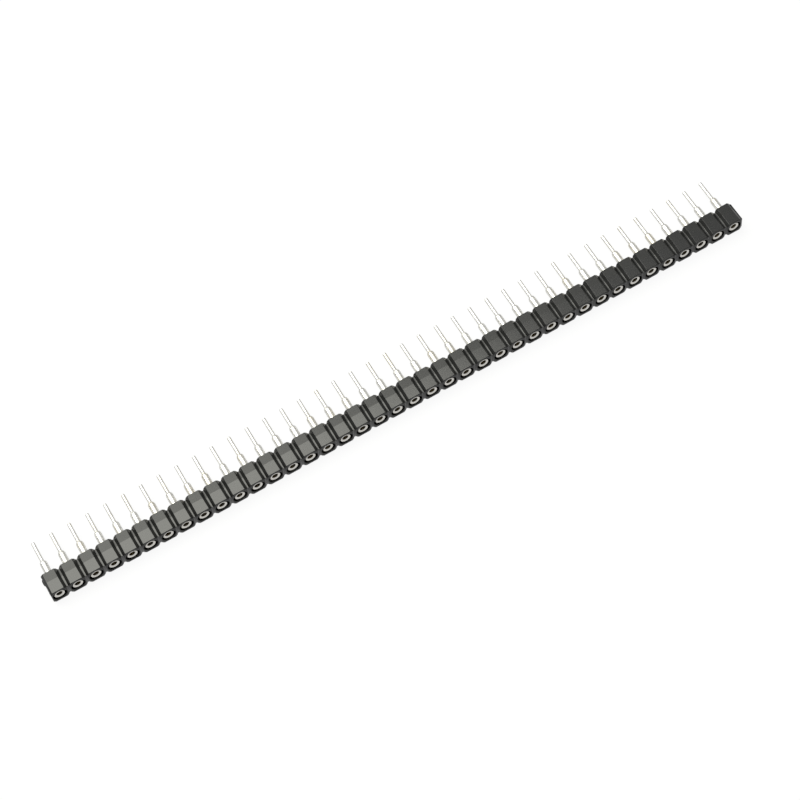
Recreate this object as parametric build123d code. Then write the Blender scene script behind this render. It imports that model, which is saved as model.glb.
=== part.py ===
from build123d import *
import os
from math import cos, radians, sin, tan

os.makedirs("parts", exist_ok=True)

# A strip of forty turned-pin sockets, lying on one long side.
# +X runs along the row, +Y along the tails, -Y out of the sockets, +Z up. Millimetres.

# Row
POSITIONS = 40
PITCH = 2.54

# Insulator strip
HOUSING_WIDTH = 2.54         # resting side to upper side
HOUSING_HEIGHT = 3.0         # socket face to seating face
CELL_FLAT = 1.54             # flat of one cell's side, along the row
WEB_THICKNESS = 0.25         # thin wall that joins two cells
GROOVE_DEPTH = 0.42          # side flat down to the web
DRAFT_LENGTH = 1.68          # drafted half of the sides, from the socket face
DRAFT_ANGLE = 1.2
SOCKET_SCORE_DEPTH = 0.12    # break line across the socket face
SOCKET_SCORE_WIDTH = 0.46
SEAT_SCORE_DEPTH = 0.22      # break line across the seating face
SEAT_SCORE_WIDTH = 0.5

# Broken end, at -X
BREAK_SETBACK = 0.2          # the snapped face stands back from the break line
BREAK_NUB_TAPER = 22

# Cavity
RECESS_RADIUS = 0.97
RECESS_DEPTH = 0.45
SLEEVE_CLEARANCE = 0.01      # radial, sleeve in its cavity

# Turned sleeve
RING_SETBACK = 0.1           # ring face below the socket face
HEAD_RADIUS = 0.70
HEAD_LENGTH = 0.55
BODY_RADIUS = 0.62
BODY_LENGTH = 1.6
BARREL_RADIUS = 0.48
BARREL_LENGTH = 1.8          # stands out of the seating face
SHOULDER_LENGTH = 0.45       # rounded cone, barrel down to tail
TAIL_RADIUS = 0.25
TAIL_LENGTH = 3.0
TIP_ROUND = 0.14
RIM_ROUND = 0.04
MOUTH_RADIUS = 0.62          # dished lead-in, out to here
MOUTH_ANGLE = 22             # of the dish, from the ring's face
BORE_RADIUS = 0.40           # at the foot of the dish
BORE_TAPER = 0.5             # narrows inwards, so that the collar wedges
BORE_DEPTH = 3.2
DRILL_POINT_ANGLE = 118

# Four-finger clip
CLIP_CLEARANCE = 0.01        # radial, clip in the sleeve's bore
CLIP_SETBACK = 0.12          # collar's edge below the foot of the dish
CLIP_RADIUS = 0.33           # inside of the collar
COLLAR_LENGTH = 0.8
FINGER_LENGTH = 1.5
FINGER_THICKNESS = 0.045
FINGER_GRIP_RADIUS = 0.2
FINGER_SLOT = 0.12
CLIPS_PER_NODE = 4

TAIL_REACH = BARREL_LENGTH + SHOULDER_LENGTH + TAIL_LENGTH
Y_SOCKET = -(HOUSING_HEIGHT + TAIL_REACH) / 2
Y_SEAT = Y_SOCKET + HOUSING_HEIGHT
Y_RING = Y_SOCKET + RING_SETBACK
Y_HEAD_END = Y_RING + HEAD_LENGTH
Y_BODY_END = Y_HEAD_END + BODY_LENGTH
Y_BARREL_END = Y_SEAT + BARREL_LENGTH
Y_TAIL = Y_BARREL_END + SHOULDER_LENGTH
Y_TIP = Y_TAIL + TAIL_LENGTH
Y_BORE = Y_RING + (MOUTH_RADIUS - BORE_RADIUS) * tan(radians(MOUTH_ANGLE))
Y_CLIP = Y_BORE + CLIP_SETBACK
Z_ROW = HOUSING_WIDTH / 2
ROW_LENGTH = POSITIONS * PITCH
CELL_X = [(i - (POSITIONS - 1) / 2) * PITCH for i in range(POSITIONS)]
BREAK_X = [x + PITCH / 2 for x in CELL_X[:-1]]

# Each profile lies in this plane as (distance from the row axis, Y), and turns about Y.
TURNING = Plane(origin=(0, 0, Z_ROW), x_dir=(1, 0, 0), z_dir=(0, 0, 1))
ROW_AXIS = Axis((0, 0, Z_ROW), (0, 1, 0))


def turned(points):
    """Solid of one closed (radius, y) outline turned about the row axis at x = 0."""
    return revolve(TURNING * make_face(Polyline(*points, close=True)), ROW_AXIS, 360)


def prism(plane, points, amount):
    """Straight extrusion, to both sides of a plane, of one closed outline."""
    return extrude(plane * make_face(Polyline(*points, close=True)), amount, both=True)


def at_cells(shape):
    """One copy of a shape at each position of the row."""
    return [Pos(x, 0, 0) * shape for x in CELL_X]


def strip_outline():
    """Outline of the whole row in X and Z: flats and chamfers joined by thin webs."""
    half, low = HOUSING_WIDTH / 2, HOUSING_WIDTH / 2 - GROOVE_DEPTH
    web = (PITCH - WEB_THICKNESS) / 2
    upper = [(-ROW_LENGTH / 2, low)]
    for x in CELL_X:
        upper += [(x - web, low), (x - CELL_FLAT / 2, half),
                  (x + CELL_FLAT / 2, half), (x + web, low)]
    upper.append((ROW_LENGTH / 2, low))
    return upper + [(x, -z) for x, z in reversed(upper)]


def draft_wedge(side):
    """What the draft takes off one long side (+1 upper, -1 resting)."""
    drop = DRAFT_LENGTH * tan(radians(DRAFT_ANGLE))
    start, past = Y_SOCKET + DRAFT_LENGTH, 0.1
    edge = HOUSING_WIDTH / 2
    slope = drop / DRAFT_LENGTH
    points = [(start, edge), (Y_SOCKET - past, edge - slope * (DRAFT_LENGTH + past)),
              (Y_SOCKET - past, edge + 1), (start, edge + 1)]
    plane = Plane(origin=(0, 0, Z_ROW), x_dir=(0, 1, 0), z_dir=(1, 0, 0))
    return prism(plane, [(y, side * z) for y, z in points], ROW_LENGTH)


def score(y, inward, depth, width):
    """V-shaped break line across one end of a web, at x = 0."""
    slope = width / 2 / depth
    past = 0.05
    reach = slope * (depth + past)
    points = [(0, y + inward * depth), (reach, y - inward * past), (-reach, y - inward * past)]
    return prism(Plane.XY, points, 2 * HOUSING_WIDTH)


def cavity():
    """Everything taken out of the insulator for one contact."""
    head = HEAD_RADIUS + SLEEVE_CLEARANCE
    body = BODY_RADIUS + SLEEVE_CLEARANCE
    barrel = BARREL_RADIUS + SLEEVE_CLEARANCE
    past = 0.1
    return turned([
        (0, Y_SOCKET - past), (RECESS_RADIUS, Y_SOCKET - past),
        (RECESS_RADIUS, Y_SOCKET + RECESS_DEPTH), (head, Y_SOCKET + RECESS_DEPTH),
        (head, Y_HEAD_END), (body, Y_HEAD_END), (body, Y_BODY_END), (barrel, Y_BODY_END),
        (barrel, Y_SEAT + past), (0, Y_SEAT + past)])


def break_nub():
    """Torn lump left on the -X end, near the seating face."""
    face = -ROW_LENGTH / 2 + BREAK_SETBACK
    plane = Plane(origin=(face, Y_SEAT, Z_ROW), x_dir=(0, -1, 0), z_dir=(-1, 0, 0))
    torn = [(0.06, 0.42), (0.40, 0.62), (0.86, 0.34), (0.98, -0.12), (0.70, -0.58),
            (0.24, -0.66), (0.06, -0.36)]
    lump = make_face(Polyline(*torn, close=True))
    return extrude(plane * lump, BREAK_SETBACK, taper=BREAK_NUB_TAPER)


def make_housing():
    plane = Plane(origin=(0, Y_SEAT, Z_ROW), x_dir=(1, 0, 0), z_dir=(0, -1, 0))
    strip = extrude(plane * make_face(Polyline(*strip_outline(), close=True)), HOUSING_HEIGHT)
    snapped = Pos(-ROW_LENGTH / 2, 0, Z_ROW) * Box(
        2 * BREAK_SETBACK, 4 * HOUSING_HEIGHT, 4 * HOUSING_WIDTH)
    strip -= [draft_wedge(1), draft_wedge(-1), snapped]
    socket_score = score(Y_SOCKET, 1, SOCKET_SCORE_DEPTH, SOCKET_SCORE_WIDTH)
    seat_score = score(Y_SEAT, -1, SEAT_SCORE_DEPTH, SEAT_SCORE_WIDTH)
    strip -= [Pos(x, 0, 0) * cut for x in BREAK_X for cut in (socket_score, seat_score)]
    strip += break_nub()
    return strip - at_cells(cavity())


def shoulder_points(steps=6):
    """Rounded cone from the barrel down to the tail, as (radius, y) points."""
    drop = BARREL_RADIUS - TAIL_RADIUS
    turns = [radians(90 * i / steps) for i in range(steps + 1)]
    return [(TAIL_RADIUS + drop * cos(t), Y_BARREL_END + SHOULDER_LENGTH * sin(t)) for t in turns]


def tip_points(steps=5):
    """Rounded end of the tail, as (radius, y) points."""
    flat = TAIL_RADIUS - TIP_ROUND
    turns = [radians(90 * i / steps) for i in range(steps + 1)]
    return [(flat + TIP_ROUND * cos(t), Y_TIP - TIP_ROUND + TIP_ROUND * sin(t)) for t in turns]


def bore_radius(y):
    """Radius of the sleeve's tapered bore at one place along it."""
    return BORE_RADIUS - (y - Y_BORE) * tan(radians(BORE_TAPER))


def make_sleeve():
    bore_end = Y_RING + BORE_DEPTH
    bottom = bore_radius(bore_end)
    point = bottom / tan(radians(DRILL_POINT_ANGLE / 2))
    outside = [
        (MOUTH_RADIUS, Y_RING), (HEAD_RADIUS - RIM_ROUND, Y_RING),
        (HEAD_RADIUS, Y_RING + RIM_ROUND), (HEAD_RADIUS, Y_HEAD_END),
        (BODY_RADIUS, Y_HEAD_END), (BODY_RADIUS, Y_BODY_END), (BARREL_RADIUS, Y_BODY_END)]
    inside = [(0, bore_end + point), (bottom, bore_end), (BORE_RADIUS, Y_BORE)]
    return turned(outside + shoulder_points() + tip_points() + [(0, Y_TIP)] + inside)


def make_clip():
    collar_end = Y_CLIP + COLLAR_LENGTH
    outer = bore_radius(collar_end) - CLIP_CLEARANCE
    end = collar_end + FINGER_LENGTH
    shell = turned([
        (CLIP_RADIUS, Y_CLIP), (outer, Y_CLIP), (outer, collar_end),
        (FINGER_GRIP_RADIUS + FINGER_THICKNESS, end), (FINGER_GRIP_RADIUS, end),
        (CLIP_RADIUS, collar_end)])
    slot_length = FINGER_LENGTH
    slot = Pos(0, end, Z_ROW) * Box(FINGER_SLOT, 2 * slot_length, 4 * BORE_RADIUS)
    across = Pos(0, end, Z_ROW) * Box(4 * BORE_RADIUS, 2 * slot_length, FINGER_SLOT)
    return shell - [slot, across]


def export(shape, name):
    shape.label = name
    export_step(shape, f"parts/{name}.step")


export(make_housing(), "housing")
for number, sleeve in enumerate(at_cells(make_sleeve()), 1):
    export(sleeve, f"contact_sleeve_{number:02d}")
clips = at_cells(make_clip())
for first in range(0, POSITIONS, CLIPS_PER_NODE):
    group = clips[first:first + CLIPS_PER_NODE]
    export(Compound(children=group), f"spring_clips_{first // CLIPS_PER_NODE + 1:02d}")
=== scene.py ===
"""Break-off strip of turned-pin sockets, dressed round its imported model.

Everything is modelled in millimetres and brought down to metres when a piece is finished.
X runs along the row, Y along the solder tails, and Z up from the side the strip lies on.
"""

from __future__ import annotations

import logging
import math
from collections.abc import Callable, Iterator, Sequence
from contextlib import contextmanager
from dataclasses import dataclass, field
from enum import Enum

import bmesh
import bpy
from mathutils import Euler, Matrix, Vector

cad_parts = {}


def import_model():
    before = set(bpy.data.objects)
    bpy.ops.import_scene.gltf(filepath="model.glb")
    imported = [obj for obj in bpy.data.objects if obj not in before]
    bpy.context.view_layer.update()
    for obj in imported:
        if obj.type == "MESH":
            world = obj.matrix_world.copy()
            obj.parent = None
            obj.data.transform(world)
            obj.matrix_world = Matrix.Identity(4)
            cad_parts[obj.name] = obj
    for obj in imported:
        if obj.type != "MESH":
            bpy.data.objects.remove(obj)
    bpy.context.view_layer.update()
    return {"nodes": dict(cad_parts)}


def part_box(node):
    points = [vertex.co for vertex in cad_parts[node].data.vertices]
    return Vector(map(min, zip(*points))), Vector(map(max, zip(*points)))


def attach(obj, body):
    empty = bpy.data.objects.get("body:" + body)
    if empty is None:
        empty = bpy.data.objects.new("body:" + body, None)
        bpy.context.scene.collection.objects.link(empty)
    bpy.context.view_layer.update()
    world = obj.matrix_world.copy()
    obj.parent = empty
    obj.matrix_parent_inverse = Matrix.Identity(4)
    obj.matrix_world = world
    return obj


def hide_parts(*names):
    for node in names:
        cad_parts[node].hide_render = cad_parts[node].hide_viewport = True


log = logging.getLogger("socket_strip")

Rgba = tuple[float, float, float, float]

MM = 0.001
BODY = "root"
MERGE = 0.0005            # points closer than this become one
CUT_TOLERANCE = 1e-4      # a cut this close to a point goes through it


class Slot(str, Enum):
    """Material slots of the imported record."""

    INSULATOR = "moulded_black"
    SLEEVE = "tinned_sleeve"
    CLIP = "gilt_clip"


class Part(Enum):
    """What may be picked in edit mode."""

    VERTEX = "VERT"
    EDGE = "EDGE"
    FACE = "FACE"


# ---------------------------------------------------------------- modelling by hand


def put_down_all() -> None:
    """Leaves edit mode and deselects every object."""
    if bpy.context.object and bpy.context.object.mode != "OBJECT":
        bpy.ops.object.mode_set(mode="OBJECT")
    bpy.ops.object.select_all(action="DESELECT")


def hold(piece: bpy.types.Object) -> None:
    """Selects one piece alone and makes it active.

    Args:
        piece: The object to work on next.
    """
    put_down_all()
    piece.select_set(True)
    bpy.context.view_layer.objects.active = piece


@contextmanager
def on_the_bench(piece: bpy.types.Object) -> Iterator[None]:
    """Edit mode on one piece, with nothing selected at the start.

    Args:
        piece: The mesh object to edit.

    Yields:
        Nothing; the piece is back in object mode afterwards.
    """
    hold(piece)
    bpy.ops.object.mode_set(mode="EDIT")
    bpy.ops.mesh.select_all(action="DESELECT")
    yield
    bpy.ops.object.mode_set(mode="OBJECT")


def pick(piece: bpy.types.Object, part: Part, test: Callable[..., bool]) -> int:
    """Selects, in edit mode, exactly the vertices, edges or faces that pass a test.

    Args:
        piece: The mesh object in edit mode.
        part: What the test looks at.
        test: Takes one bmesh vertex, edge or face and says whether it is picked.

    Returns:
        How many were picked.
    """
    bpy.ops.mesh.select_mode(type=part.value)
    bpy.ops.mesh.select_all(action="DESELECT")
    grid = bmesh.from_edit_mesh(piece.data)
    found = {Part.VERTEX: grid.verts, Part.EDGE: grid.edges, Part.FACE: grid.faces}[part]
    picked = [item for item in found if test(item)]
    for item in picked:
        item.select_set(True)
    grid.select_flush_mode()
    bmesh.update_edit_mesh(piece.data)
    return len(picked)


def near(value: float, target: float, within: float = 1e-3) -> bool:
    """Whether two lengths agree.

    Args:
        value: The length measured.
        target: The length wanted.
        within: How far apart they may be.

    Returns:
        True where they agree.
    """
    return abs(value - target) < within


def finish_modifier(piece: bpy.types.Object, kind: str, **settings: object) -> None:
    """Adds one modifier with its settings and applies it.

    Args:
        piece: The object that gets it.
        kind: Blender's type name of the modifier.
        settings: Its properties by name.
    """
    hold(piece)
    modifier = piece.modifiers.new(kind.title(), kind)
    for name, value in settings.items():
        setattr(modifier, name, value)
    bpy.ops.object.modifier_apply(modifier=modifier.name)


def shade(piece: bpy.types.Object, crease: float) -> None:
    """Shades a piece smooth up to a crease angle and keeps its large flats flat.

    Args:
        piece: The finished piece.
        crease: Edges sharper than this many degrees stay sharp.
    """
    hold(piece)
    bpy.ops.object.shade_smooth_by_angle(angle=math.radians(crease))
    finish_modifier(piece, "WEIGHTED_NORMAL", keep_sharp=True, weight=100)


def copy_along(piece: bpy.types.Object, name: str, offset: Vector) -> bpy.types.Object:
    """Makes a copy with its own mesh and moves the mesh, not the object.

    Args:
        piece: The model to copy.
        name: The copy's name.
        offset: How far the copy stands from the model, in millimetres.

    Returns:
        The copy.
    """
    hold(piece)
    bpy.ops.object.duplicate(linked=False)
    twin = bpy.context.object
    twin.name = twin.data.name = name
    twin.location = offset
    bpy.ops.object.transform_apply(location=True, rotation=False, scale=False)
    return twin


def to_metres(piece: bpy.types.Object) -> None:
    """Brings a piece modelled in millimetres to metres, inside its mesh.

    Args:
        piece: The piece, with its origin at the world's.
    """
    hold(piece)
    piece.scale = (MM, MM, MM)
    bpy.ops.object.transform_apply(location=True, rotation=True, scale=True)


def discard(piece: bpy.types.Object) -> None:
    """Removes a model or a cutter that has done its work.

    Args:
        piece: The object to remove.
    """
    hold(piece)
    bpy.ops.object.delete()


def spin_outline(name: str, outline: Sequence[tuple[float, float]], height: float,
                 steps: int) -> bpy.types.Object:
    """Turns an outline round the row's axis, as on a lathe.

    Args:
        name: The new piece's name.
        outline: (radius, y) points in order along the outline.
        height: How high the axis lies.
        steps: Facets in a full turn.

    Returns:
        The turned piece, closed wherever the outline meets the axis.
    """
    put_down_all()
    first_radius, first_y = outline[0]
    bpy.ops.mesh.primitive_plane_add(size=1, location=(0, 0, 0))
    piece = bpy.context.object
    piece.name = piece.data.name = name
    with on_the_bench(piece):
        bpy.ops.mesh.select_all(action="SELECT")
        bpy.ops.mesh.merge(type="CENTER")
        bpy.ops.transform.translate(value=(first_radius, first_y, height))
        for (radius, y), (next_radius, next_y) in zip(outline, outline[1:]):
            move = (next_radius - radius, next_y - y, 0)
            bpy.ops.mesh.extrude_vertices_move(TRANSFORM_OT_translate={"value": move})
        bpy.ops.mesh.select_all(action="SELECT")
        bpy.ops.mesh.spin(steps=steps, angle=math.tau, center=(0, 0, height), axis=(0, 1, 0))
        bpy.ops.mesh.select_all(action="SELECT")
        bpy.ops.mesh.remove_doubles(threshold=MERGE)
        bpy.ops.mesh.normals_make_consistent(inside=False)
    return piece


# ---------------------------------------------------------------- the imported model


@dataclass(frozen=True)
class PackedRow:
    """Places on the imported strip, in millimetres."""

    cells: tuple[float, ...]
    socket_face: float
    seating_face: float
    half_width: float
    axis_height: float
    low_end: float
    high_end: float
    tail_tip: float
    ring_face: float

    @classmethod
    def read(cls, nodes: Sequence[str]) -> PackedRow:
        """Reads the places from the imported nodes' boxes.

        Args:
            nodes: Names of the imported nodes.

        Returns:
            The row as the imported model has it.
        """
        low, high = (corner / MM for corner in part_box("housing"))
        sleeves = sorted(name for name in nodes if name.startswith("contact_sleeve"))
        boxes = [tuple(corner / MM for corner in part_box(name)) for name in sleeves]
        return cls(
            cells=tuple((a.x + b.x) / 2 for a, b in boxes),
            socket_face=low.y, seating_face=high.y,
            half_width=(high.z - low.z) / 2, axis_height=(high.z + low.z) / 2,
            low_end=low.x, high_end=high.x,
            tail_tip=boxes[0][1].y, ring_face=boxes[0][0].y)

    @property
    def pitch(self) -> float:
        """Distance from one position to the next."""
        return (self.cells[-1] - self.cells[0]) / (len(self.cells) - 1)


# ---------------------------------------------------------------- finishes


def linear(code: str) -> Rgba:
    """Turns an sRGB hex colour into the linear values that nodes take.

    Args:
        code: Six hex digits after a hash sign.

    Returns:
        Linear red, green, blue and an alpha of 1.
    """
    parts = [int(code[i:i + 2], 16) / 255 for i in (1, 3, 5)]
    knee, power = 0.04045, 2.4
    red, green, blue = (p / 12.92 if p <= knee else ((p + 0.055) / 1.055) ** power
                        for p in parts)
    return red, green, blue, 1.0


def add_node(tree: bpy.types.NodeTree, kind: str, inputs: dict[str | int, object] | None = None,
             **settings: object) -> bpy.types.Node:
    """Adds one shader node, sets it up and wires it.

    Args:
        tree: The node tree it goes in.
        kind: Blender's type name of the node.
        inputs: Values, or output sockets to link from, by input name or number.
        settings: The node's own properties by name.

    Returns:
        The new node.
    """
    node = tree.nodes.new(kind)
    for name, value in settings.items():
        setattr(node, name, value)
    for key, value in (inputs or {}).items():
        if isinstance(value, bpy.types.NodeSocket):
            tree.links.new(value, node.inputs[key])
        else:
            node.inputs[key].default_value = value
    return node


def reckon(tree: bpy.types.NodeTree, operation: str, *inputs: object) -> bpy.types.NodeSocket:
    """Adds one sum.

    Args:
        tree: The node tree it goes in.
        operation: Blender's name of the sum.
        inputs: Its values or sockets, in order.

    Returns:
        The result's socket.
    """
    node = add_node(tree, "ShaderNodeMath", dict(enumerate(inputs)), operation=operation)
    return node.outputs["Value"]


def blend(tree: bpy.types.NodeTree, factor: bpy.types.NodeSocket, start: object,
          end: object) -> bpy.types.NodeSocket:
    """Goes from one colour to another.

    Args:
        tree: The node tree it goes in.
        factor: The socket that drives it.
        start: Colour or socket where the factor is 0.
        end: Colour or socket where the factor is 1.

    Returns:
        The colour's socket.
    """
    node = add_node(tree, "ShaderNodeMix", {"Factor": factor, 6: start, 7: end},
                    data_type="RGBA")
    return node.outputs[2]


def step(tree: bpy.types.NodeTree, along: bpy.types.NodeSocket,
         stretch: tuple[float, float], before: float, after: float) -> bpy.types.NodeSocket:
    """Goes from one value to another over a short stretch of the piece.

    Args:
        tree: The node tree it goes in.
        along: Place along an axis, in metres.
        stretch: Where the change starts and ends, in millimetres.
        before: The value up to the start.
        after: The value from the end on.

    Returns:
        The value's socket.
    """
    start, end = stretch
    node = add_node(tree, "ShaderNodeMapRange", {
        "Value": along, "From Min": start * MM, "From Max": end * MM,
        "To Min": before, "To Max": after})
    return node.outputs["Result"]


def ramp(tree: bpy.types.NodeTree, factor: bpy.types.NodeSocket,
         stops: Sequence[tuple[float, float]]) -> bpy.types.NodeSocket:
    """Maps a factor through greys.

    Args:
        tree: The node tree it goes in.
        factor: The socket that drives it.
        stops: (position, linear grey) pairs from low to high.

    Returns:
        The ramp's colour output.
    """
    node = add_node(tree, "ShaderNodeValToRGB", {"Fac": factor})
    elements = node.color_ramp.elements
    while len(elements) < len(stops):
        elements.new(0.5)
    for element, (position, value) in zip(elements, stops):
        element.position, element.color = position, grey(value)
    return node.outputs["Color"]


def grey(value: float) -> Rgba:
    """Gives a linear grey.

    Args:
        value: Its brightness.

    Returns:
        The colour, with an alpha of 1.
    """
    return value, value, value, 1.0


def per_mm(size: float) -> float:
    """Gives the scale of a pattern in Object coordinates.

    Args:
        size: How wide its features are, in millimetres.

    Returns:
        The scale that noise nodes take.
    """
    return 1.0 / (size * MM)


def new_surface(name: str) -> tuple[bpy.types.Material, bpy.types.NodeTree, bpy.types.Node]:
    """Starts a material with a bare Principled shader.

    Args:
        name: The material's name.

    Returns:
        The material, its node tree and the shader node.
    """
    material = bpy.data.materials.new(name)
    material.use_nodes = True
    tree = material.node_tree
    tree.nodes.clear()
    shader = add_node(tree, "ShaderNodeBsdfPrincipled")
    add_node(tree, "ShaderNodeOutputMaterial", {"Surface": shader.outputs["BSDF"]})
    return material, tree, shader


@dataclass(frozen=True)
class MouldedPolyester:
    """Glass-filled black polyester, injection moulded in a two-part tool.

    The eye gets a deep neutral black with a satin sheen and a fine spark-eroded grain. The
    tool half at the tails is duller than the half at the sockets, and the end face is
    dullest.
    """

    end_face: float = 0.0         # where the end face and the parting line lie along Y
    parting: float = 0.0
    colour: str = "#0a0b09"
    speck_colour: str = "#161714"
    ior: float = 1.6
    end_sheen: float = 0.18
    socket_half_sheen: float = 0.48
    tail_half_sheen: float = 0.37
    socket_half_roughness: float = 0.24
    tail_half_roughness: float = 0.34
    unevenness: float = 0.06      # of the roughness
    grain_mm: float = 0.10        # real grain is finer; drawn this coarse so that it shows
    grain_lift: float = 0.012
    lift_mm: float = 0.01
    speck_mm: float = 0.16
    speck_edge: float = 0.18
    wave_mm: float = 2.2

    def make(self) -> bpy.types.Material:
        """Builds the material.

        Returns:
            The finished material.
        """
        material, tree, shader = new_surface("moulded_black_polyester")
        place = add_node(tree, "ShaderNodeTexCoord").outputs["Object"]
        along = add_node(tree, "ShaderNodeSeparateXYZ", {"Vector": place}).outputs["Y"]
        self.colour_it(tree, shader, place)
        self.roughen(tree, shader, place, along)
        behind_end = step(tree, along, (self.end_face + 0.01, self.end_face + 0.04),
                          self.end_sheen - self.socket_half_sheen, 0.0)
        halves = step(tree, along, (self.parting - 0.03, self.parting + 0.03),
                      self.socket_half_sheen, self.tail_half_sheen)
        tree.links.new(reckon(tree, "ADD", halves, behind_end),
                       shader.inputs["Specular IOR Level"])
        shader.inputs["IOR"].default_value = self.ior
        return material

    def colour_it(self, tree: bpy.types.NodeTree, shader: bpy.types.Node,
                  place: bpy.types.NodeSocket) -> None:
        """Wires the colour: black with faint specks of filler.

        Args:
            tree: The node tree.
            shader: The Principled shader.
            place: Object coordinates.
        """
        speck = add_node(tree, "ShaderNodeTexVoronoi",
                         {"Vector": place, "Scale": per_mm(self.speck_mm)})
        flecks = ramp(tree, speck.outputs["Distance"], [(0.0, 1.0), (self.speck_edge, 0.0)])
        colour = blend(tree, flecks, linear(self.colour), linear(self.speck_colour))
        tree.links.new(colour, shader.inputs["Base Color"])

    def roughen(self, tree: bpy.types.NodeTree, shader: bpy.types.Node,
                place: bpy.types.NodeSocket, along: bpy.types.NodeSocket) -> None:
        """Wires the roughness of the two tool halves and the spark-eroded grain.

        Args:
            tree: The node tree.
            shader: The Principled shader.
            place: Object coordinates.
            along: The Y of the object coordinates.
        """
        wave = add_node(tree, "ShaderNodeTexNoise",
                        {"Vector": place, "Scale": per_mm(self.wave_mm), "Detail": 2.0})
        half = step(tree, along, (self.parting - 0.04, self.parting + 0.04),
                    self.socket_half_roughness, self.tail_half_roughness)
        uneven = reckon(tree, "MULTIPLY_ADD", wave.outputs["Fac"], self.unevenness,
                        -self.unevenness / 2)
        tree.links.new(reckon(tree, "ADD", half, uneven), shader.inputs["Roughness"])
        grain = add_node(tree, "ShaderNodeTexNoise",
                         {"Vector": place, "Scale": per_mm(self.grain_mm), "Detail": 3.0})
        bump = add_node(tree, "ShaderNodeBump", {
            "Height": grain.outputs["Fac"], "Strength": self.grain_lift,
            "Distance": self.lift_mm * MM})
        tree.links.new(bump.outputs["Normal"], shader.inputs["Normal"])


@dataclass(frozen=True)
class TinPlate:
    """Bright tin over turned brass.

    The eye gets a warm silver with faint tool rings round each contact, here and there a
    straw tint where the plating is thin, a ring face painted a little greyer as shade that
    dims the rings, and a bore painted dark as the shade inside the hole.
    dull dark bore that the plating barely reached.
    """

    # bore_from to bore_to: the stretch painted dark as the shade in the bore
    bore_from: float = 0.0        # the stretch along Y where only the bore shows
    bore_to: float = 1.0
    colour: str = "#e4e3df"
    thin_colour: str = "#dedacf"
    thin_range: tuple[float, float] = (0.52, 0.68)
    # ring face and dish: painted a little greyer, as shade that dims the rings
    ring_face_shade_colour: str = "#dddbd5"
    # bore: painted dark, as the shade inside the hole
    bore_shade_colour: str = "#4d4940"
    roughness: float = 0.36
    ring_roughness: float = 0.12
    ring_mm: float = 0.12         # spacing of the tool rings
    ring_stretch: float = 0.05    # how little they change across the axis
    ring_lift: float = 0.10
    lift_mm: float = 0.01
    tint_mm: float = 3.0

    def make(self) -> bpy.types.Material:
        """Builds the material.

        Returns:
            The finished material.
        """
        material, tree, shader = new_surface("bright_tin_on_turned_brass")
        place = add_node(tree, "ShaderNodeTexCoord").outputs["Object"]
        self.colour_it(tree, shader, place)
        across = self.ring_stretch
        stretch = add_node(tree, "ShaderNodeMapping",
                           {"Vector": place, "Scale": (across, 1.0, across)})
        rings = add_node(tree, "ShaderNodeTexNoise", {
            "Vector": stretch.outputs["Vector"], "Scale": per_mm(self.ring_mm), "Detail": 2.0})
        bump = add_node(tree, "ShaderNodeBump", {
            "Height": rings.outputs["Fac"], "Strength": self.ring_lift,
            "Distance": self.lift_mm * MM})
        rough = reckon(tree, "MULTIPLY_ADD", rings.outputs["Fac"], self.ring_roughness,
                       self.roughness - self.ring_roughness / 2)
        tree.links.new(rough, shader.inputs["Roughness"])
        tree.links.new(bump.outputs["Normal"], shader.inputs["Normal"])
        shader.inputs["Metallic"].default_value = 1.0
        return material

    def colour_it(self, tree: bpy.types.NodeTree, shader: bpy.types.Node,
                  place: bpy.types.NodeSocket) -> None:
        """Wires the colour: plated outside, ring face and bore darkened as painted shade.

        Args:
            tree: The node tree.
            shader: The Principled shader.
            place: Object coordinates.
        """
        tint = add_node(tree, "ShaderNodeTexNoise",
                        {"Vector": place, "Scale": per_mm(self.tint_mm), "Detail": 1.0})
        start, end = self.thin_range
        thin = ramp(tree, tint.outputs["Fac"], [(start, 0.0), (end, 1.0)])
        plated = blend(tree, thin, linear(self.colour), linear(self.thin_colour))
        along = add_node(tree, "ShaderNodeSeparateXYZ", {"Vector": place}).outputs["Y"]
        on_face = reckon(tree, "LESS_THAN", along, self.bore_from * MM)
        in_bore = reckon(tree, "MULTIPLY",
                         reckon(tree, "GREATER_THAN", along, self.bore_from * MM),
                         reckon(tree, "LESS_THAN", along, self.bore_to * MM))
        # painted shade: the ring face and dish a little greyer, the bore dark
        outside = blend(tree, on_face, plated, linear(self.ring_face_shade_colour))
        colour = blend(tree, in_bore, outside, linear(self.bore_shade_colour))
        tree.links.new(colour, shader.inputs["Base Color"])


@dataclass(frozen=True)
class GiltSpring:
    """Thin gold over stamped copper-alloy spring.

    The eye gets a dim, slightly warm lining just inside each mouth: the gold and its random
    worn patches are both painted dark as the shade inside the sleeve.
    """

    # painted shade: the gold and the worn patches are darkened for the shade inside the sleeve
    colour: str = "#6b5c3d"
    worn_and_shaded_colour: str = "#4f4a3f"
    worn_range: tuple[float, float] = (0.45, 0.65)
    roughness: float = 0.45
    wear_mm: float = 0.5

    def make(self) -> bpy.types.Material:
        """Builds the material.

        Returns:
            The finished material.
        """
        material, tree, shader = new_surface("gilt_copper_spring")
        place = add_node(tree, "ShaderNodeTexCoord").outputs["Object"]
        wear = add_node(tree, "ShaderNodeTexNoise",
                        {"Vector": place, "Scale": per_mm(self.wear_mm), "Detail": 2.0})
        start, end = self.worn_range
        worn = ramp(tree, wear.outputs["Fac"], [(start, 0.0), (end, 1.0)])
        # gold with random worn patches, both painted dark as shade
        colour = blend(tree, worn, linear(self.colour), linear(self.worn_and_shaded_colour))
        tree.links.new(colour, shader.inputs["Base Color"])
        shader.inputs["Roughness"].default_value = self.roughness
        shader.inputs["Metallic"].default_value = 1.0
        return material


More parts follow.
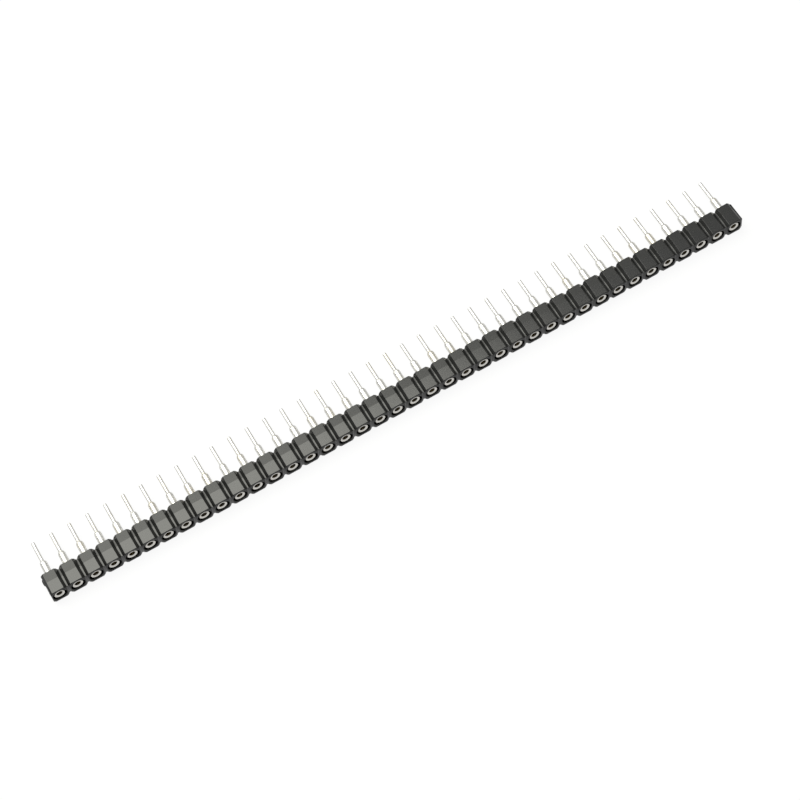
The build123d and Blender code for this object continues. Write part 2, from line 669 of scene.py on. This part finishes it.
def dress(piece: bpy.types.Object, material: bpy.types.Material, slot: Slot,
          *nodes: str) -> None:
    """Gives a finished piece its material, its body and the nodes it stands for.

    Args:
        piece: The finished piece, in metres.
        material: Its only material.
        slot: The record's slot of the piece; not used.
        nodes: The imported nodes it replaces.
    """
    piece.data.materials.clear()
    piece.data.materials.append(material)
    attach(piece, BODY)
    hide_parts(*nodes)


# ---------------------------------------------------------------- insulator


@dataclass
class InsulatorStrip:
    """The moulded strip: one cell modelled by hand, repeated, and snapped off at both ends.

    Sizes are in millimetres.
    """

    row: PackedRow
    flat: float = 1.54
    web_thickness: float = 0.25
    groove_depth: float = 0.42
    draft_length: float = 1.68
    draft_drop: float = 0.035
    score_reach: float = 0.24
    socket_score: float = 0.12
    seat_score: float = 0.22
    recess_radius: float = 0.97
    recess_depth: float = 0.45
    head_hole: tuple[float, float] = (0.71, 0.76)
    barrel_hole: tuple[float, float] = (0.49, 0.9)
    edge_round: float = 0.035
    edge_angle: float = 33.0      # sharper edges are rounded, in degrees
    crease: float = 40.0
    end_setback: float = 0.2
    end_rim: float = 0.03         # smooth border round a broken end
    end_cuts: int = 3             # how often a broken end is divided, to roughen it
    end_tear: float = 0.03
    end_seed: int = 7
    lump_half_size: tuple[float, float, float] = (0.19, 0.46, 0.60)
    lump_offset: tuple[float, float, float] = (0.02, -0.52, -0.02)  # end, seating face, axis
    lump_tear: float = 0.025
    lump_seed: int = 3
    facets: int = 40
    piece: bpy.types.Object = field(init=False)

    @property
    def middle(self) -> Vector:
        """Centre of a cell that stands at x = 0."""
        return Vector((0, (self.row.socket_face + self.row.seating_face) / 2,
                       self.row.axis_height))

    def build(self) -> None:
        """Models the strip and leaves it in metres."""
        cell = self.model_cell()
        self.sink_holes(cell)
        self.open_sides(cell)
        finish_modifier(cell, "BEVEL", width=self.edge_round, segments=2,
                        limit_method="ANGLE", angle_limit=math.radians(self.edge_angle))
        self.piece = self.repeat(cell)
        self.snap_ends()
        to_metres(self.piece)
        shade(self.piece, self.crease)

    def model_cell(self) -> bpy.types.Object:
        """Shapes one cell from a block: chamfered sides, half webs, draft and break lines.

        Returns:
            The cell, still closed at both webs.
        """
        row, middle = self.row, self.middle
        depth = row.seating_face - row.socket_face
        web_height = 2 * (row.half_width - self.groove_depth)
        slope = (row.pitch - self.web_thickness - self.flat) / 2
        put_down_all()
        bpy.ops.mesh.primitive_cube_add(size=1, location=middle,
                                        scale=(self.flat, depth, 2 * row.half_width))
        cell = bpy.context.object
        cell.name = cell.data.name = "insulator_cell"
        bpy.ops.object.transform_apply(location=True, rotation=False, scale=True)
        with on_the_bench(cell):
            for side in (-1, 1):
                pick(cell, Part.FACE, lambda f: near(f.normal.x, side))
                bpy.ops.mesh.extrude_region_move(
                    TRANSFORM_OT_translate={"value": (side * slope, 0, 0)})
                bpy.ops.transform.resize(value=(1, 1, web_height / (2 * row.half_width)),
                                         center_override=middle)
                bpy.ops.mesh.extrude_region_move(
                    TRANSFORM_OT_translate={"value": (side * self.web_thickness / 2, 0, 0)})
            edge = row.pitch / 2 - self.score_reach
            for point, normal in (((edge, 0, 0), (1, 0, 0)), ((-edge, 0, 0), (1, 0, 0)),
                                  ((0, row.socket_face + self.draft_length, 0), (0, 1, 0))):
                bpy.ops.mesh.select_all(action="SELECT")
                bpy.ops.mesh.bisect(plane_co=point, plane_no=normal, threshold=CUT_TOLERANCE)
            self.score_ends(cell)
            self.draw_draft(cell, slope)
        return cell

    def score_ends(self, cell: bpy.types.Object) -> None:
        """Sinks half a V along each web on the socket face and the seating face.

        Args:
            cell: The cell in edit mode.
        """
        row = self.row
        edge = row.pitch / 2 - self.score_reach
        ends = ((row.socket_face, self.socket_score), (row.seating_face, -self.seat_score))
        levels = (row.pitch / 2, (row.pitch - self.web_thickness) / 2)
        for y, sink in ends:
            for level in levels:
                share = (level - edge) / self.score_reach
                pick(cell, Part.VERTEX,
                     lambda v: near(v.co.y, y) and near(abs(v.co.x), level))
                bpy.ops.transform.translate(value=(0, sink * share, 0))

    def draw_draft(self, cell: bpy.types.Object, slope: float) -> None:
        """Draws the side flats in towards the socket face, along their chamfers.

        Args:
            cell: The cell in edit mode.
            slope: Width of a chamfer along the row.
        """
        row = self.row
        widen = self.draft_drop * slope / self.groove_depth
        for across in (-1, 1):
            for up in (-1, 1):
                pick(cell, Part.VERTEX, lambda v: (
                    near(v.co.y, row.socket_face) and near(v.co.x, across * self.flat / 2)
                    and near(v.co.z, row.axis_height + up * row.half_width)))
                bpy.ops.transform.translate(
                    value=(across * widen, 0, -up * self.draft_drop))

    def sink_holes(self, cell: bpy.types.Object) -> None:
        """Cuts the recess, the head's hole and the barrel's hole.

        Args:
            cell: The closed cell.
        """
        row = self.row
        face, seat = row.socket_face, row.seating_face
        holes = ((face, self.recess_radius, self.recess_depth), (face, *self.head_hole),
                 (seat, *self.barrel_hole))
        for y, radius, depth in holes:
            put_down_all()
            bpy.ops.mesh.primitive_cylinder_add(
                vertices=self.facets, radius=radius, depth=2 * depth,
                location=(0, y, row.axis_height), rotation=(math.radians(90), 0, 0))
            drill = bpy.context.object
            bpy.ops.object.transform_apply(location=True, rotation=True, scale=False)
            finish_modifier(cell, "BOOLEAN", operation="DIFFERENCE", solver="EXACT",
                            object=drill)
            discard(drill)
            log.debug("hole %.2f mm in radius, %.2f mm deep", radius, depth)

    def open_sides(self, cell: bpy.types.Object) -> None:
        """Takes away the two faces where the next cells join on.

        Args:
            cell: The cut cell.
        """
        with on_the_bench(cell):
            pick(cell, Part.FACE, lambda f: (
                near(abs(f.normal.x), 1) and near(abs(f.calc_center_median().x),
                                                  self.row.pitch / 2)))
            bpy.ops.mesh.delete(type="ONLY_FACE")

    def repeat(self, cell: bpy.types.Object) -> bpy.types.Object:
        """Copies the cell to every position and joins the copies.

        Args:
            cell: The open cell at x = 0.

        Returns:
            The whole row as one piece.
        """
        copies = [copy_along(cell, f"insulator_cell_{i}", Vector((x, 0, 0)))
                  for i, x in enumerate(self.row.cells)]
        discard(cell)
        hold(copies[0])
        for other in copies[1:]:
            other.select_set(True)
        bpy.ops.object.join()
        strip = bpy.context.object
        strip.name = strip.data.name = "insulator_strip"
        with on_the_bench(strip):
            bpy.ops.mesh.select_all(action="SELECT")
            bpy.ops.mesh.remove_doubles(threshold=MERGE)
        return strip

    def snap_ends(self) -> None:
        """Closes the high end, breaks the low end back and leaves its torn lump."""
        row, strip = self.row, self.piece
        with on_the_bench(strip):
            bpy.ops.mesh.select_all(action="SELECT")
            bpy.ops.mesh.bisect(plane_co=(row.low_end + self.end_setback, 0, 0),
                                plane_no=(1, 0, 0), use_fill=True, clear_inner=True,
                                threshold=CUT_TOLERANCE)
            pick(strip, Part.EDGE, lambda e: e.is_boundary and all(
                near(v.co.x, row.high_end) for v in e.verts))
            bpy.ops.mesh.edge_face_add()
            for end in (row.low_end + self.end_setback, row.high_end):
                pick(strip, Part.FACE, lambda f: all(near(v.co.x, end) for v in f.verts))
                bpy.ops.mesh.inset(thickness=self.end_rim)
                bpy.ops.mesh.poke()
                for _ in range(self.end_cuts):
                    bpy.ops.mesh.subdivide(number_cuts=1)
                pick(strip, Part.VERTEX, lambda v: near(v.co.x, end) and all(
                    near(e.other_vert(v).co.x, end) for e in v.link_edges))
                bpy.ops.transform.vertex_random(offset=self.end_tear, uniform=0.4, normal=0.0,
                                                seed=self.end_seed)
            pick(strip, Part.VERTEX, lambda v: v.co.x > row.high_end - 1e-6)
            bpy.ops.transform.resize(value=(0, 1, 1),
                                     center_override=(row.high_end, 0, 0))
        lump = self.model_lump()
        hold(strip)
        lump.select_set(True)
        bpy.ops.object.join()

    def model_lump(self) -> bpy.types.Object:
        """Shapes the torn lump at the low end, near the seating face.

        Returns:
            The lump, sunk a little into the end.
        """
        row = self.row
        corner = Vector((row.low_end + self.end_setback, row.seating_face, row.axis_height))
        put_down_all()
        bpy.ops.mesh.primitive_ico_sphere_add(
            subdivisions=4, radius=1, location=corner + Vector(self.lump_offset),
            scale=self.lump_half_size)
        lump = bpy.context.object
        lump.name = "torn_lump"
        bpy.ops.object.transform_apply(location=True, rotation=False, scale=True)
        with on_the_bench(lump):
            bpy.ops.mesh.select_all(action="SELECT")
            bpy.ops.transform.vertex_random(offset=self.lump_tear, uniform=0.5, normal=0.5,
                                            seed=self.lump_seed)
            pick(lump, Part.VERTEX, lambda v: v.co.x < row.low_end)
            bpy.ops.transform.resize(value=(0, 1, 1), center_override=(row.low_end, 0, 0))
        return lump

    def finish(self, material: bpy.types.Material) -> None:
        """Dresses the strip.

        Args:
            material: The moulded finish.
        """
        dress(self.piece, material, Slot.INSULATOR, "housing")


# ---------------------------------------------------------------- contacts


@dataclass
class TurnedContact:
    """One turned sleeve with its solder tail, made once and copied along the row."""

    row: PackedRow
    head_radius: float = 0.70
    head_length: float = 0.55
    mouth_radius: float = 0.62
    mouth_angle: float = 22.0     # of the dished lead-in, from the ring's face
    bore_radius: float = 0.40
    bore_taper: float = 0.5
    bore_depth: float = 3.2
    drill_point: float = 118.0
    body_radius: float = 0.62
    body_length: float = 1.6
    barrel_radius: float = 0.48
    shoulder_length: float = 0.45
    tail_radius: float = 0.25
    tail_length: float = 3.0
    tip_round: float = 0.14
    edge_round: float = 0.03
    edge_angle: float = 40.0
    crease: float = 40.0
    arc_steps: int = 7            # in a quarter turn of the shoulder and of the tip
    facets: int = 36
    pieces: list[bpy.types.Object] = field(default_factory=list)

    @property
    def mouth_foot(self) -> float:
        """Where the dished lead-in ends and the bore starts, along Y."""
        rise = math.tan(math.radians(self.mouth_angle))
        return self.row.ring_face + (self.mouth_radius - self.bore_radius) * rise

    def outline(self) -> list[tuple[float, float]]:
        """The sleeve's outline, from the bottom of its bore round to the tip of its tail.

        Returns:
            (radius, y) points.
        """
        ring, tip = self.row.ring_face, self.row.tail_tip
        head_end = ring + self.head_length
        body_end = head_end + self.body_length
        tail = tip - self.tail_length
        barrel_end = tail - self.shoulder_length
        foot = self.mouth_foot
        bottom_y = ring + self.bore_depth
        bottom = self.bore_radius - (bottom_y - foot) * math.tan(math.radians(self.bore_taper))
        point = bottom / math.tan(math.radians(self.drill_point / 2))
        drop = self.barrel_radius - self.tail_radius
        quarter = [math.radians(90 * i / self.arc_steps) for i in range(self.arc_steps + 1)]
        shoulder = [(self.tail_radius + drop * math.cos(a),
                     barrel_end + self.shoulder_length * math.sin(a)) for a in quarter]
        core = self.tail_radius - self.tip_round
        rounded = [(core + self.tip_round * math.cos(a),
                    tip - self.tip_round + self.tip_round * math.sin(a)) for a in quarter]
        return [
            (0, bottom_y + point), (bottom, bottom_y), (self.bore_radius, foot),
            (self.mouth_radius, ring),
            (self.head_radius, ring), (self.head_radius, head_end),
            (self.body_radius, head_end), (self.body_radius, body_end),
            (self.barrel_radius, body_end), *shoulder, *rounded, (0, tip)]

    def build(self) -> None:
        """Turns one sleeve, eases its edges and sets a copy at every position."""
        model = spin_outline("contact_model", self.outline(), self.row.axis_height,
                             self.facets)
        finish_modifier(model, "BEVEL", width=self.edge_round, segments=2,
                        limit_method="ANGLE", angle_limit=math.radians(self.edge_angle))
        to_metres(model)
        shade(model, self.crease)
        for number, x in enumerate(self.row.cells, 1):
            offset = Vector((x * MM, 0, 0))
            self.pieces.append(copy_along(model, f"turned_contact_{number:02d}", offset))
        discard(model)

    def finish(self, material: bpy.types.Material) -> None:
        """Dresses every contact.

        Args:
            material: The plated finish.
        """
        for number, piece in enumerate(self.pieces, 1):
            dress(piece, material, Slot.SLEEVE, f"contact_sleeve_{number:02d}")


@dataclass
class SpringClip:
    """The four-finger spring inside one sleeve, made once and copied along the row."""

    row: PackedRow
    lip_radius: float = 0.365
    lip_bend: tuple[float, float] = (0.01, 0.05)   # outside the collar's radius, past the lip
    lip_length: float = 0.12
    collar_radius: float = 0.335
    collar_length: float = 0.8
    set_in: float = 0.21
    finger_length: float = 1.5
    grip_radius: float = 0.2
    thickness: float = 0.04
    slots: int = 4
    clips_per_node: int = 4
    crease: float = 35.0
    facets: int = 32
    pieces: list[bpy.types.Object] = field(default_factory=list)

    def build(self) -> None:
        """Spins one spring, slits its fingers and sets a copy at every position."""
        lip = self.row.ring_face + self.set_in
        collar_end = lip + self.collar_length
        bend_out, bend_in = self.lip_bend
        outline = [(self.lip_radius, lip), (self.collar_radius + bend_out, lip + bend_in),
                   (self.collar_radius, lip + self.lip_length),
                   (self.collar_radius, collar_end),
                   (self.grip_radius, collar_end + self.finger_length)]
        model = spin_outline("clip_model", outline, self.row.axis_height, self.facets)
        height, turn = self.row.axis_height, math.tau / self.slots

        def in_slot(face: bmesh.types.BMFace) -> bool:
            """Whether a face lies in one of the slots between two fingers.

            Args:
                face: A face of the spun shell.

            Returns:
                True in a slot.
            """
            middle = face.calc_center_median()
            angle = math.atan2(middle.z - height, middle.x) % turn
            beside = min(angle, turn - angle) < math.tau / self.facets
            return beside and middle.y > collar_end

        with on_the_bench(model):
            pick(model, Part.FACE, in_slot)
            bpy.ops.mesh.delete(type="FACE")
        finish_modifier(model, "SOLIDIFY", thickness=self.thickness, offset=-1.0)
        to_metres(model)
        shade(model, self.crease)
        for number, x in enumerate(self.row.cells, 1):
            offset = Vector((x * MM, 0, 0))
            self.pieces.append(copy_along(model, f"spring_clip_{number:02d}", offset))
        discard(model)

    def finish(self, material: bpy.types.Material) -> None:
        """Dresses every spring.

        Args:
            material: The gilt finish.
        """
        for index, piece in enumerate(self.pieces):
            dress(piece, material, Slot.CLIP,
                  f"spring_clips_{index // self.clips_per_node + 1:02d}")


# ---------------------------------------------------------------- studio


@dataclass(frozen=True)
class Softbox:
    """A rectangular soft lamp that looks at one point. Lengths are in metres."""

    name: str
    place: tuple[float, float, float]
    size: tuple[float, float]
    radiance: float
    aim: tuple[float, float, float] = (0.0, 0.0, 0.0)
    tint: tuple[float, float, float] = (1.0, 1.0, 0.91)

    def light(self) -> None:
        """Hangs the lamp; its power follows from its size and its radiance."""
        put_down_all()
        bpy.ops.object.light_add(type="AREA", location=self.place)
        lamp = bpy.context.object
        lamp.name = lamp.data.name = self.name
        lamp.data.shape = "RECTANGLE"
        lamp.data.color = self.tint
        width, depth = self.size
        lamp.data.size, lamp.data.size_y = width, depth
        lamp.data.energy = self.radiance * math.pi * width * depth
        towards = Vector(self.aim) - Vector(self.place)
        lamp.rotation_euler = towards.to_track_quat("-Z", "Y").to_euler()


@dataclass(frozen=True)
class Studio:
    """White sweep, soft lamp, room and camera. Places are in metres."""

    camera_place: tuple[float, float, float] = (-0.04617, -0.13213, 0.24825)
    camera_turn: tuple[float, float, float] = (28.557, 5.461, -29.453)
    lens: float = 99.6
    sensor_width: float = 36.0
    clip_start: float = 0.005
    floor_size: float = 6.0
    floor_drop: float = 0.00001     # keeps the floor clear of the strip's underside
    floor_colour: str = "#f2f2f2"
    floor_glow: float = 0.9         # share of the floor that shines; the rest takes shadow
    floor_in_gloss: float = 0.78    # how bright the floor looks in the plastic and the tin
    room: tuple[tuple[float, float], ...] = (   # brightness against height
        (0.0, 0.26), (0.3, 0.46), (0.75, 0.70), (1.0, 0.8))
    softbox: Softbox = Softbox("overhead_softbox", (-0.125, 0.24, 0.45), (0.43, 0.5), 4.6)

    def build(self) -> None:
        """Sets everything up."""
        self.lay_floor()
        self.paint_world()
        self.softbox.light()
        self.place_camera()
        bpy.context.scene.view_settings.view_transform = "Standard"

    def seen_directly(self, tree: bpy.types.NodeTree) -> bpy.types.NodeSocket:
        """Factor that is 1 for what the camera sees, directly or in gloss and glass.

        Args:
            tree: The node tree that needs it.

        Returns:
            The factor's socket.
        """
        path = add_node(tree, "ShaderNodeLightPath").outputs
        shiny = reckon(tree, "MAXIMUM", path["Is Glossy Ray"], path["Is Transmission Ray"])
        return reckon(tree, "MAXIMUM", path["Is Camera Ray"], shiny)

    def lay_floor(self) -> None:
        """Lays a plain white sweep that stays white but keeps a faint shadow."""
        put_down_all()
        bpy.ops.mesh.primitive_plane_add(size=self.floor_size,
                                         location=(0, 0, -self.floor_drop))
        floor = bpy.context.object
        floor.name = floor.data.name = "white_sweep"
        material = bpy.data.materials.new("white_paper_sweep")
        material.use_nodes = True
        tree = material.node_tree
        tree.nodes.clear()
        paper = add_node(tree, "ShaderNodeBsdfDiffuse", {"Color": linear(self.floor_colour)})
        to_camera = add_node(tree, "ShaderNodeLightPath").outputs["Is Camera Ray"]
        strength = reckon(tree, "MULTIPLY_ADD", to_camera, 1.0 - self.floor_in_gloss,
                          self.floor_in_gloss)
        glow = add_node(tree, "ShaderNodeEmission", {"Color": grey(1.0), "Strength": strength})
        share = reckon(tree, "MULTIPLY", self.seen_directly(tree), self.floor_glow)
        both = add_node(tree, "ShaderNodeMixShader", {
            0: share, 1: paper.outputs["BSDF"], 2: glow.outputs["Emission"]})
        add_node(tree, "ShaderNodeOutputMaterial", {"Surface": both.outputs["Shader"]})
        floor.data.materials.append(material)

    def paint_world(self) -> None:
        """Paints a room that is light overhead, dimmer at the horizon, white to the camera."""
        world = bpy.data.worlds.new("studio_room")
        bpy.context.scene.world = world
        world.use_nodes = True
        tree = world.node_tree
        tree.nodes.clear()
        towards = add_node(tree, "ShaderNodeTexCoord").outputs["Generated"]
        height = add_node(tree, "ShaderNodeSeparateXYZ", {"Vector": towards}).outputs["Z"]
        to_camera = add_node(tree, "ShaderNodeLightPath").outputs["Is Camera Ray"]
        colour = blend(tree, to_camera, ramp(tree, height, self.room), grey(1.0))
        backdrop = add_node(tree, "ShaderNodeBackground", {"Color": colour})
        add_node(tree, "ShaderNodeOutputWorld", {"Surface": backdrop.outputs["Background"]})

    def place_camera(self) -> None:
        """Looks down at the strip from its socket side, a little from the left."""
        put_down_all()
        turn = Euler([math.radians(angle) for angle in self.camera_turn])
        bpy.ops.object.camera_add(location=self.camera_place, rotation=turn)
        camera = bpy.context.object
        camera.name = camera.data.name = "studio_camera"
        camera.data.lens = self.lens
        camera.data.sensor_width = self.sensor_width
        camera.data.clip_start = self.clip_start
        bpy.context.scene.camera = camera


# ---------------------------------------------------------------- making


def main() -> None:
    """Builds and dresses the strip, then the studio round it."""
    logging.basicConfig(level=logging.INFO, format="%(name)s: %(message)s")
    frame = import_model()
    row = PackedRow.read(list(frame["nodes"]))
    insulator = InsulatorStrip(row)
    insulator.build()
    insulator.finish(MouldedPolyester(
        end_face=row.socket_face, parting=row.socket_face + insulator.draft_length).make())
    log.info("insulator strip: %d faces", len(insulator.piece.data.polygons))
    contacts = TurnedContact(row)
    contacts.build()
    # the stretch from bore_from to bore_to is painted dark as the shade in the bore
    contacts.finish(TinPlate(bore_from=contacts.mouth_foot + 0.02,
                             bore_to=row.seating_face - 0.1).make())
    log.info("turned contacts: %d of %d faces", len(contacts.pieces),
             len(contacts.pieces[0].data.polygons))
    clips = SpringClip(row)
    clips.build()
    clips.finish(GiltSpring().make())
    log.info("spring clips: %d of %d faces", len(clips.pieces),
             len(clips.pieces[0].data.polygons))
    Studio().build()
    put_down_all()


if __name__ == "__main__":
    main()
